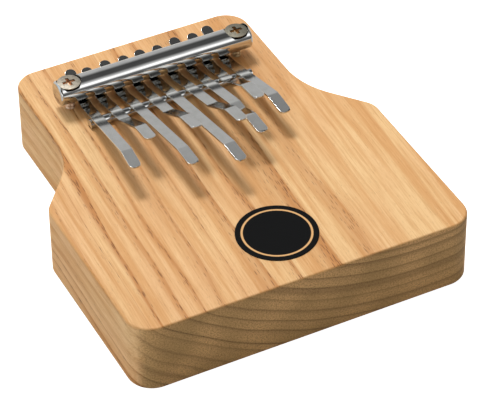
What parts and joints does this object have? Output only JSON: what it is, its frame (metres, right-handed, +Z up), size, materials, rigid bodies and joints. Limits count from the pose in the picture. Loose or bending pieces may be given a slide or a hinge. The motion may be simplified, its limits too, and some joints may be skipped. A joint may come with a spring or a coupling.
{
  "type": "thumb piano",
  "caption": "Thumb piano: a solid ash block with a narrow head, and flat steel tines of graded length clamped by a round bar between rod bridges.",
  "frame": {"origin": "middle of the block's underside", "axes": "+Z up from the underside to the board, +Y from the playing end to the head, +X to the player's right seen from the playing end"},
  "size_m": [0.1406, 0.1606, 0.0464],
  "materials": {
    "ash": "satin",
    "badge": "satin",
    "bridge_rods": "polished",
    "pressure_bar": "polished",
    "screws": "satin",
    "tines": "satin"
  },
  "bodies": {
    "frame": {"block": "ash", "badge": "badge", "front_bridge": "bridge_rods", "rear_bridge": "bridge_rods", "pressure_bar": "pressure_bar", "screw_left": "screws", "screw_right": "screws"},
    "tine_1": {"tine_1": "tines"},
    "tine_2": {"tine_2": "tines"},
    "tine_3": {"tine_3": "tines"},
    "tine_4": {"tine_4": "tines"},
    "tine_5": {"tine_5": "tines"},
    "tine_6": {"tine_6": "tines"},
    "tine_7": {"tine_7": "tines"},
    "tine_8": {"tine_8": "tines"},
    "tine_9": {"tine_9": "tines"}
  },
  "joints": [
    {"name": "tine_1_flex", "type": "hinge", "parent": "frame", "child": "tine_1", "pos_m": [0, 0.0369, 0.0331], "axis": [1, 0, 0], "range_deg": [-1.2, 2], "stiffness_Nm_per_rad": 2.71},
    {"name": "tine_2_flex", "type": "hinge", "parent": "frame", "child": "tine_2", "pos_m": [0, 0.0369, 0.0331], "axis": [1, 0, 0], "range_deg": [-1.2, 2], "stiffness_Nm_per_rad": 3.54},
    {"name": "tine_3_flex", "type": "hinge", "parent": "frame", "child": "tine_3", "pos_m": [0, 0.0369, 0.0331], "axis": [1, 0, 0], "range_deg": [-1.2, 2], "stiffness_Nm_per_rad": 2.25},
    {"name": "tine_4_flex", "type": "hinge", "parent": "frame", "child": "tine_4", "pos_m": [0, 0.0369, 0.0331], "axis": [1, 0, 0], "range_deg": [-1.2, 2], "stiffness_Nm_per_rad": 3.11},
    {"name": "tine_5_flex", "type": "hinge", "parent": "frame", "child": "tine_5", "pos_m": [0, 0.0369, 0.0331], "axis": [1, 0, 0], "range_deg": [-1.2, 2], "stiffness_Nm_per_rad": 1.99},
    {"name": "tine_6_flex", "type": "hinge", "parent": "frame", "child": "tine_6", "pos_m": [0, 0.0369, 0.0331], "axis": [1, 0, 0], "range_deg": [-1.2, 2], "stiffness_Nm_per_rad": 2.77},
    {"name": "tine_7_flex", "type": "hinge", "parent": "frame", "child": "tine_7", "pos_m": [0, 0.0369, 0.0331], "axis": [1, 0, 0], "range_deg": [-1.2, 2], "stiffness_Nm_per_rad": 2.52},
    {"name": "tine_8_flex", "type": "hinge", "parent": "frame", "child": "tine_8", "pos_m": [0, 0.0369, 0.0331], "axis": [1, 0, 0], "range_deg": [-1.2, 2], "stiffness_Nm_per_rad": 3.75},
    {"name": "tine_9_flex", "type": "hinge", "parent": "frame", "child": "tine_9", "pos_m": [0, 0.0369, 0.0331], "axis": [1, 0, 0], "range_deg": [-1.2, 2], "stiffness_Nm_per_rad": 3.13}
  ]
}
